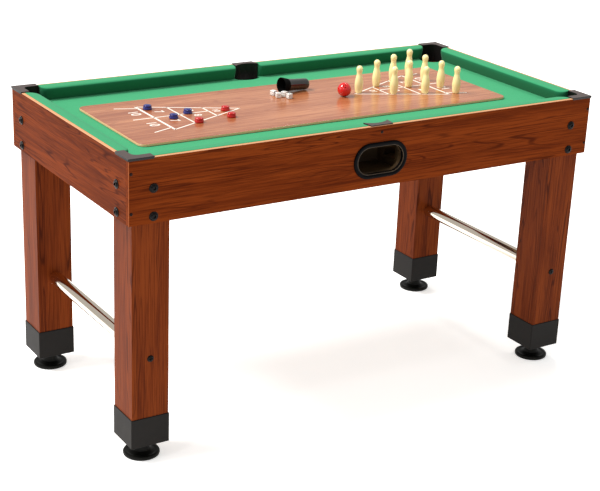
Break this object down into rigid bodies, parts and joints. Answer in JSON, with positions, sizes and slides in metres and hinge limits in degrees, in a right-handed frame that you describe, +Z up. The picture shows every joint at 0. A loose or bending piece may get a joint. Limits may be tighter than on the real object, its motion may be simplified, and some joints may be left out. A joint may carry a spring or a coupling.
{
  "type": "shuffleboard table",
  "caption": "Freestanding games table with cushioned green bed, pockets, ball return, box legs on levelling feet, and a lift-off shuffleboard and bowling board with its loose playing pieces.",
  "frame": {"origin": "on the floor, at the middle of the table's plan", "axes": "+X along the long side, -Y out of the long side with the ball-return opening, +Z up"},
  "size_m": [1.2296, 0.6296, 0.7341],
  "materials": {
    "front_apron": "cherry laminate, satin",
    "back_apron": "cherry laminate, satin",
    "left_apron": "cherry laminate, satin",
    "right_apron": "cherry laminate, satin",
    "bed_panel": "board covered in green cloth",
    "cushion_front_left": "green cloth over a rubber cushion",
    "cushion_front_right": "green cloth over a rubber cushion",
    "cushion_back_left": "green cloth over a rubber cushion",
    "cushion_back_right": "green cloth over a rubber cushion",
    "cushion_left": "green cloth over a rubber cushion",
    "cushion_right": "green cloth over a rubber cushion",
    "corner_pocket_front_left": "black moulded plastic",
    "corner_pocket_front_right": "black moulded plastic",
    "corner_pocket_back_left": "black moulded plastic",
    "corner_pocket_back_right": "black moulded plastic",
    "middle_pocket_front": "black moulded plastic",
    "middle_pocket_back": "black moulded plastic",
    "ball_return_tray": "black moulded plastic",
    "back_ball_run": "black moulded plastic",
    "leg_front_left": "cherry laminate, satin",
    "leg_cap_front_left": "black moulded plastic",
    "levelling_foot_front_left": "black moulded plastic",
    "leg_bolts_front_left": "black oxide steel",
    "leg_front_right": "cherry laminate, satin",
    "leg_cap_front_right": "black moulded plastic",
    "levelling_foot_front_right": "black moulded plastic",
    "leg_bolts_front_right": "black oxide steel",
    "leg_back_left": "cherry laminate, satin",
    "leg_cap_back_left": "black moulded plastic",
    "levelling_foot_back_left": "black moulded plastic",
    "leg_bolts_back_left": "black oxide steel",
    "leg_back_right": "cherry laminate, satin",
    "leg_cap_back_right": "black moulded plastic",
    "levelling_foot_back_right": "black moulded plastic",
    "leg_bolts_back_right": "black oxide steel",
    "stretcher_tube_left": "chrome plated steel",
    "stretcher_tube_right": "chrome plated steel",
    "playing_board": "gloss printed wood-look face",
    "puck_blue_1": "gloss cap on a steel base",
    "puck_blue_2": "gloss cap on a steel base",
    "puck_blue_3": "gloss cap on a steel base",
    "puck_red_1": "gloss cap on a steel base",
    "puck_red_2": "gloss cap on a steel base",
    "puck_red_3": "gloss cap on a steel base",
    "bowling_ball": "gloss",
    "pin_1": "satin",
    "pin_2": "satin",
    "pin_3": "satin",
    "pin_4": "satin",
    "pin_5": "satin",
    "pin_6": "satin",
    "pin_7": "satin",
    "pin_8": "satin",
    "pin_9": "satin",
    "pin_10": "satin",
    "dice_cup": "gloss",
    "die_1": "gloss with dark pips",
    "die_2": "gloss with dark pips",
    "die_3": "gloss with dark pips",
    "die_4": "gloss with dark pips"
  },
  "bodies": {
    "table": {"front_apron": "front_apron", "back_apron": "back_apron", "left_apron": "left_apron", "right_apron": "right_apron", "bed_panel": "bed_panel", "cushion_front_left": "cushion_front_left", "cushion_front_right": "cushion_front_right", "cushion_back_left": "cushion_back_left", "cushion_back_right": "cushion_back_right", "cushion_left": "cushion_left", "cushion_right": "cushion_right", "corner_pocket_front_left": "corner_pocket_front_left", "corner_pocket_front_right": "corner_pocket_front_right", "corner_pocket_back_left": "corner_pocket_back_left", "corner_pocket_back_right": "corner_pocket_back_right", "middle_pocket_front": "middle_pocket_front", "middle_pocket_back": "middle_pocket_back", "ball_return_tray": "ball_return_tray", "back_ball_run": "back_ball_run", "leg_front_left": "leg_front_left", "leg_cap_front_left": "leg_cap_front_left", "leg_bolts_front_left": "leg_bolts_front_left", "leg_front_right": "leg_front_right", "leg_cap_front_right": "leg_cap_front_right", "leg_bolts_front_right": "leg_bolts_front_right", "leg_back_left": "leg_back_left", "leg_cap_back_left": "leg_cap_back_left", "leg_bolts_back_left": "leg_bolts_back_left", "leg_back_right": "leg_back_right", "leg_cap_back_right": "leg_cap_back_right", "leg_bolts_back_right": "leg_bolts_back_right", "stretcher_tube_left": "stretcher_tube_left", "stretcher_tube_right": "stretcher_tube_right"},
    "foot_front_left": {"levelling_foot_front_left": "levelling_foot_front_left"},
    "foot_front_right": {"levelling_foot_front_right": "levelling_foot_front_right"},
    "foot_back_left": {"levelling_foot_back_left": "levelling_foot_back_left"},
    "foot_back_right": {"levelling_foot_back_right": "levelling_foot_back_right"},
    "board": {"playing_board": "playing_board"},
    "puck_blue_1_body": {"puck_blue_1": "puck_blue_1"},
    "puck_blue_2_body": {"puck_blue_2": "puck_blue_2"},
    "puck_blue_3_body": {"puck_blue_3": "puck_blue_3"},
    "puck_red_1_body": {"puck_red_1": "puck_red_1"},
    "puck_red_2_body": {"puck_red_2": "puck_red_2"},
    "puck_red_3_body": {"puck_red_3": "puck_red_3"},
    "ball": {"bowling_ball": "bowling_ball"},
    "pin_1_body": {"pin_1": "pin_1"},
    "pin_2_body": {"pin_2": "pin_2"},
    "pin_3_body": {"pin_3": "pin_3"},
    "pin_4_body": {"pin_4": "pin_4"},
    "pin_5_body": {"pin_5": "pin_5"},
    "pin_6_body": {"pin_6": "pin_6"},
    "pin_7_body": {"pin_7": "pin_7"},
    "pin_8_body": {"pin_8": "pin_8"},
    "pin_9_body": {"pin_9": "pin_9"},
    "pin_10_body": {"pin_10": "pin_10"},
    "cup": {"dice_cup": "dice_cup"},
    "die_1_body": {"die_1": "die_1"},
    "die_2_body": {"die_2": "die_2"},
    "die_3_body": {"die_3": "die_3"},
    "die_4_body": {"die_4": "die_4"}
  },
  "joints": [
    {"name": "foot_front_left_adjust", "type": "slide", "parent": "table", "child": "foot_front_left", "axis": [0, 0, -1], "range_m": [0, 0.012]},
    {"name": "foot_front_right_adjust", "type": "slide", "parent": "table", "child": "foot_front_right", "axis": [0, 0, -1], "range_m": [0, 0.012]},
    {"name": "foot_back_left_adjust", "type": "slide", "parent": "table", "child": "foot_back_left", "axis": [0, 0, -1], "range_m": [0, 0.012]},
    {"name": "foot_back_right_adjust", "type": "slide", "parent": "table", "child": "foot_back_right", "axis": [0, 0, -1], "range_m": [0, 0.012]},
    {"name": "board_lift", "type": "slide", "parent": "table", "child": "board", "axis": [0, 0, 1], "range_m": [0, 0.1]},
    {"name": "puck_blue_1_slide", "type": "slide", "parent": "board", "child": "puck_blue_1_body", "axis": [1, 0, 0], "range_m": [0, 0.2]},
    {"name": "puck_blue_2_slide", "type": "slide", "parent": "board", "child": "puck_blue_2_body", "axis": [1, 0, 0], "range_m": [0, 0.09]},
    {"name": "puck_blue_3_slide", "type": "slide", "parent": "board", "child": "puck_blue_3_body", "axis": [1, 0, 0], "range_m": [0, 0.05]},
    {"name": "puck_red_1_slide", "type": "slide", "parent": "board", "child": "puck_red_1_body", "axis": [1, 0, 0], "range_m": [0, 0.1]},
    {"name": "puck_red_2_slide", "type": "slide", "parent": "board", "child": "puck_red_2_body", "axis": [1, 0, 0], "range_m": [0, 0.15]},
    {"name": "puck_red_3_slide", "type": "slide", "parent": "board", "child": "puck_red_3_body", "axis": [1, 0, 0], "range_m": [0, 0.05]},
    {"name": "ball_roll", "type": "slide", "parent": "board", "child": "ball", "axis": [-1, 0, 0], "range_m": [0, 0.15]},
    {"name": "pin_1_topple", "type": "hinge", "parent": "board", "child": "pin_1_body", "pos_m": [0.173, 0.025, 0.6671], "axis": [0, 1, 0], "range_deg": [0, 80]},
    {"name": "pin_2_topple", "type": "hinge", "parent": "board", "child": "pin_2_body", "pos_m": [0.249, -0.015, 0.6671], "axis": [0, 1, 0], "range_deg": [0, 80]},
    {"name": "pin_3_topple", "type": "hinge", "parent": "board", "child": "pin_3_body", "pos_m": [0.249, 0.06, 0.6671], "axis": [0, 1, 0], "range_deg": [0, 80]},
    {"name": "pin_4_topple", "type": "hinge", "parent": "board", "child": "pin_4_body", "pos_m": [0.3225, -0.0439, 0.6671], "axis": [0, 1, 0], "range_deg": [0, 80]},
    {"name": "pin_5_topple", "type": "hinge", "parent": "board", "child": "pin_5_body", "pos_m": [0.3225, 0.0246, 0.6671], "axis": [0, 1, 0], "range_deg": [0, 80]},
    {"name": "pin_6_topple", "type": "hinge", "parent": "board", "child": "pin_6_body", "pos_m": [0.3225, 0.093, 0.6671], "axis": [0, 1, 0], "range_deg": [0, 80]},
    {"name": "pin_7_topple", "type": "hinge", "parent": "board", "child": "pin_7_body", "pos_m": [0.395, -0.0732, 0.6671], "axis": [0, 1, 0], "range_deg": [0, 80]},
    {"name": "pin_8_topple", "type": "hinge", "parent": "board", "child": "pin_8_body", "pos_m": [0.395, -0.01, 0.6671], "axis": [0, 1, 0], "range_deg": [0, 80]},
    {"name": "pin_9_topple", "type": "hinge", "parent": "board", "child": "pin_9_body", "pos_m": [0.395, 0.058, 0.6671], "axis": [0, 1, 0], "range_deg": [0, 80]},
    {"name": "pin_10_topple", "type": "hinge", "parent": "board", "child": "pin_10_body", "pos_m": [0.395, 0.125, 0.6671], "axis": [0, 1, 0], "range_deg": [0, 80]},
    {"name": "cup_lift", "type": "slide", "parent": "board", "child": "cup", "axis": [0, 0, 1], "range_m": [0, 0.08]},
    {"name": "die_1_lift", "type": "slide", "parent": "board", "child": "die_1_body", "axis": [0, 0, 1], "range_m": [0, 0.06]},
    {"name": "die_2_lift", "type": "slide", "parent": "board", "child": "die_2_body", "axis": [0, 0, 1], "range_m": [0, 0.06]},
    {"name": "die_3_lift", "type": "slide", "parent": "board", "child": "die_3_body", "axis": [0, 0, 1], "range_m": [0, 0.06]},
    {"name": "die_4_lift", "type": "slide", "parent": "board", "child": "die_4_body", "axis": [0, 0, 1], "range_m": [0, 0.06]}
  ]
}
